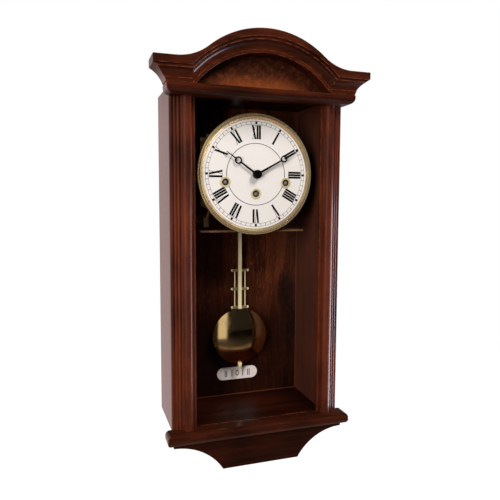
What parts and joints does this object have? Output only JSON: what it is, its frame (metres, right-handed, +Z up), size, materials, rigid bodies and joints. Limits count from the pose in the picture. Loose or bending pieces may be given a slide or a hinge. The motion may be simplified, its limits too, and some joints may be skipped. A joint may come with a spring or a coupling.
{
  "type": "wall clock",
  "caption": "Arched wooden wall clock with an open front, round dial with hour and minute hands, geared spring trains, winding squares and a swinging pendulum over a beat plate",
  "frame": {"origin": "centre of the hanger plate's round hole, in the plane of the wall", "axes": "+X to the viewer's right, +Y into the wall, +Z up; the dial faces -Y"},
  "size_m": [0.297, 0.1455, 0.5888],
  "materials": {
    "case_wood": "dark reddish-brown stain under gloss lacquer",
    "back_wood": "figured walnut-stained veneer, satin lacquer",
    "tympanum_burl": "burl veneer, gloss lacquer",
    "dial_white": "off-white enamel paint with printed numerals",
    "bezel_brass": "polished and lacquered brass",
    "hand_black": "black paint, satin",
    "plate_brass": "brushed brass plate",
    "train_brass": "cut and polished brass on steel arbors",
    "steel": "bright turned steel",
    "spring_steel": "blued spring steel",
    "pendulum_brass": "pale polished brass",
    "beat_silver": "pale silvered plate with printed marks",
    "striker_brass": "plain turned brass",
    "gong_rod": "drawn steel rod",
    "gong_iron": "black cast block",
    "hanger_steel": "zinc-plated sheet",
    "bumper_rubber": "soft black rubber disc"
  },
  "bodies": {
    "case": {"apron": "case_wood", "back_cock": "plate_brass", "back_panel": "back_wood", "back_plate": "plate_brass", "base_moulding": "case_wood", "beat_plate": "beat_silver", "bottom_board": "case_wood", "clicks": "steel", "crown_bead_board": "case_wood", "crown_moulding": "case_wood", "dial_bezel": "bezel_brass", "dial_plate": "dial_white", "dial_posts": "plate_brass", "front_plate": "plate_brass", "gong_block": "gong_iron", "gong_rods": "gong_rod", "hammer_arbor": "steel", "hanger_plate": "hanger_steel", "movement_brackets": "steel", "movement_seat": "hanger_steel", "panel_rivets": "steel", "pilaster_left": "case_wood", "pilaster_right": "case_wood", "pillar_nuts": "steel", "plate_pillars": "plate_brass", "side_panel_left": "case_wood", "side_panel_right": "case_wood", "top_board": "case_wood", "tympanum_panel": "tympanum_burl", "wall_bumpers": "bumper_rubber", "winding_grommets": "bezel_brass"},
    "minute": {"minute_arbor": "train_brass", "minute_hand": "hand_black"},
    "hour": {"hour_wheel": "train_brass", "hour_hand": "hand_black"},
    "minute_wheel": {"minute_wheel": "train_brass"},
    "intermediate": {"intermediate_arbor": "train_brass"},
    "time_barrel": {"time_barrel": "train_brass", "time_mainspring": "spring_steel"},
    "third": {"third_arbor": "train_brass"},
    "escape": {"escape_arbor": "train_brass"},
    "pendulum": {"suspension_spring": "spring_steel", "pendulum_rod": "pendulum_brass", "pendulum_bob": "pendulum_brass", "rating_nut": "pendulum_brass"},
    "verge": {"verge": "steel"},
    "time_winding": {"time_winding_arbor": "steel"},
    "strike_winding": {"strike_winding_arbor": "steel"},
    "chime_winding": {"chime_winding_arbor": "steel"},
    "strike_barrel": {"strike_barrel": "train_brass", "strike_mainspring": "spring_steel"},
    "strike_second": {"strike_second_arbor": "train_brass"},
    "strike_fly": {"strike_fly": "train_brass"},
    "chime_barrel": {"chime_barrel": "train_brass", "chime_mainspring": "spring_steel"},
    "chime_second": {"chime_second_arbor": "train_brass"},
    "chime_fly": {"chime_fly": "train_brass"},
    "hammer": {"hammer": "striker_brass"},
    "silence_lever": {"silence_lever": "striker_brass"}
  },
  "joints": [
    {"name": "minute_turn", "type": "hinge", "parent": "case", "child": "minute", "pos_m": [0, 0, -0.0776], "axis": [0, 1, 0], "continuous": true},
    {"name": "hour_turn", "type": "hinge", "parent": "case", "child": "hour", "pos_m": [0, 0, -0.0776], "axis": [0, 1, 0], "continuous": true},
    {"name": "minute_wheel_turn", "type": "hinge", "parent": "case", "child": "minute_wheel", "pos_m": [-0.01018, 0, -0.06742], "axis": [0, 1, 0], "continuous": true},
    {"name": "intermediate_turn", "type": "hinge", "parent": "case", "child": "intermediate", "pos_m": [0.01741, 0, -0.08495], "axis": [0, 1, 0], "continuous": true},
    {"name": "time_barrel_turn", "type": "hinge", "parent": "case", "child": "time_barrel", "pos_m": [0, 0, -0.1044], "axis": [0, 1, 0], "continuous": true},
    {"name": "third_turn", "type": "hinge", "parent": "case", "child": "third", "pos_m": [0.01101, 0, -0.06187], "axis": [0, 1, 0], "continuous": true},
    {"name": "escape_turn", "type": "hinge", "parent": "case", "child": "escape", "pos_m": [0, 0, -0.05026], "axis": [0, 1, 0], "continuous": true},
    {"name": "pendulum_turn", "type": "hinge", "parent": "case", "child": "pendulum", "pos_m": [0, 0, -0.03426], "axis": [0, 1, 0], "range_deg": [-4, 4]},
    {"name": "verge_turn", "type": "hinge", "parent": "case", "child": "verge", "pos_m": [0, 0, -0.03426], "axis": [0, 1, 0], "range_deg": [-4, 4]},
    {"name": "time_winding_turn", "type": "hinge", "parent": "case", "child": "time_winding", "pos_m": [0, 0, -0.1044], "axis": [0, 1, 0], "continuous": true},
    {"name": "strike_winding_turn", "type": "hinge", "parent": "case", "child": "strike_winding", "pos_m": [-0.0446, 0, -0.0887], "axis": [0, 1, 0], "continuous": true},
    {"name": "chime_winding_turn", "type": "hinge", "parent": "case", "child": "chime_winding", "pos_m": [0.0446, 0, -0.0887], "axis": [0, 1, 0], "continuous": true},
    {"name": "strike_barrel_turn", "type": "hinge", "parent": "case", "child": "strike_barrel", "pos_m": [-0.0446, 0, -0.0887], "axis": [0, 1, 0], "continuous": true},
    {"name": "strike_second_turn", "type": "hinge", "parent": "case", "child": "strike_second", "pos_m": [-0.05136, 0, -0.06349], "axis": [0, 1, 0], "continuous": true},
    {"name": "strike_fly_turn", "type": "hinge", "parent": "case", "child": "strike_fly", "pos_m": [-0.04191, 0, -0.04712], "axis": [0, 1, 0], "continuous": true},
    {"name": "chime_barrel_turn", "type": "hinge", "parent": "case", "child": "chime_barrel", "pos_m": [0.0446, 0, -0.0887], "axis": [0, 1, 0], "continuous": true},
    {"name": "chime_second_turn", "type": "hinge", "parent": "case", "child": "chime_second", "pos_m": [0.05136, 0, -0.06349], "axis": [0, 1, 0], "continuous": true},
    {"name": "chime_fly_turn", "type": "hinge", "parent": "case", "child": "chime_fly", "pos_m": [0.04191, 0, -0.04712], "axis": [0, 1, 0], "continuous": true},
    {"name": "hammer_turn", "type": "hinge", "parent": "case", "child": "hammer", "pos_m": [-0.058, 0, -0.1176], "axis": [0, 1, 0], "range_deg": [0, 22]},
    {"name": "silence_lever_turn", "type": "hinge", "parent": "case", "child": "silence_lever", "pos_m": [-0.054, 0, -0.0276], "axis": [0, 1, 0], "range_deg": [-6, 6]}
  ],
  "couplings": [
    {"joint": "hour_turn", "follows": "minute_turn", "ratio": 0.083333},
    {"joint": "minute_wheel_turn", "follows": "minute_turn", "ratio": -0.33333},
    {"joint": "intermediate_turn", "follows": "minute_turn", "ratio": -0.22727},
    {"joint": "time_barrel_turn", "follows": "minute_turn", "ratio": 0.047348},
    {"joint": "third_turn", "follows": "minute_turn", "ratio": -5.4},
    {"joint": "escape_turn", "follows": "minute_turn", "ratio": 29.16},
    {"joint": "strike_second_turn", "follows": "strike_barrel_turn", "ratio": -4.8},
    {"joint": "strike_fly_turn", "follows": "strike_barrel_turn", "ratio": 21.12},
    {"joint": "chime_second_turn", "follows": "chime_barrel_turn", "ratio": -4.8},
    {"joint": "chime_fly_turn", "follows": "chime_barrel_turn", "ratio": 21.12},
    {"joint": "verge_turn", "follows": "pendulum_turn", "ratio": 1}
  ]
}
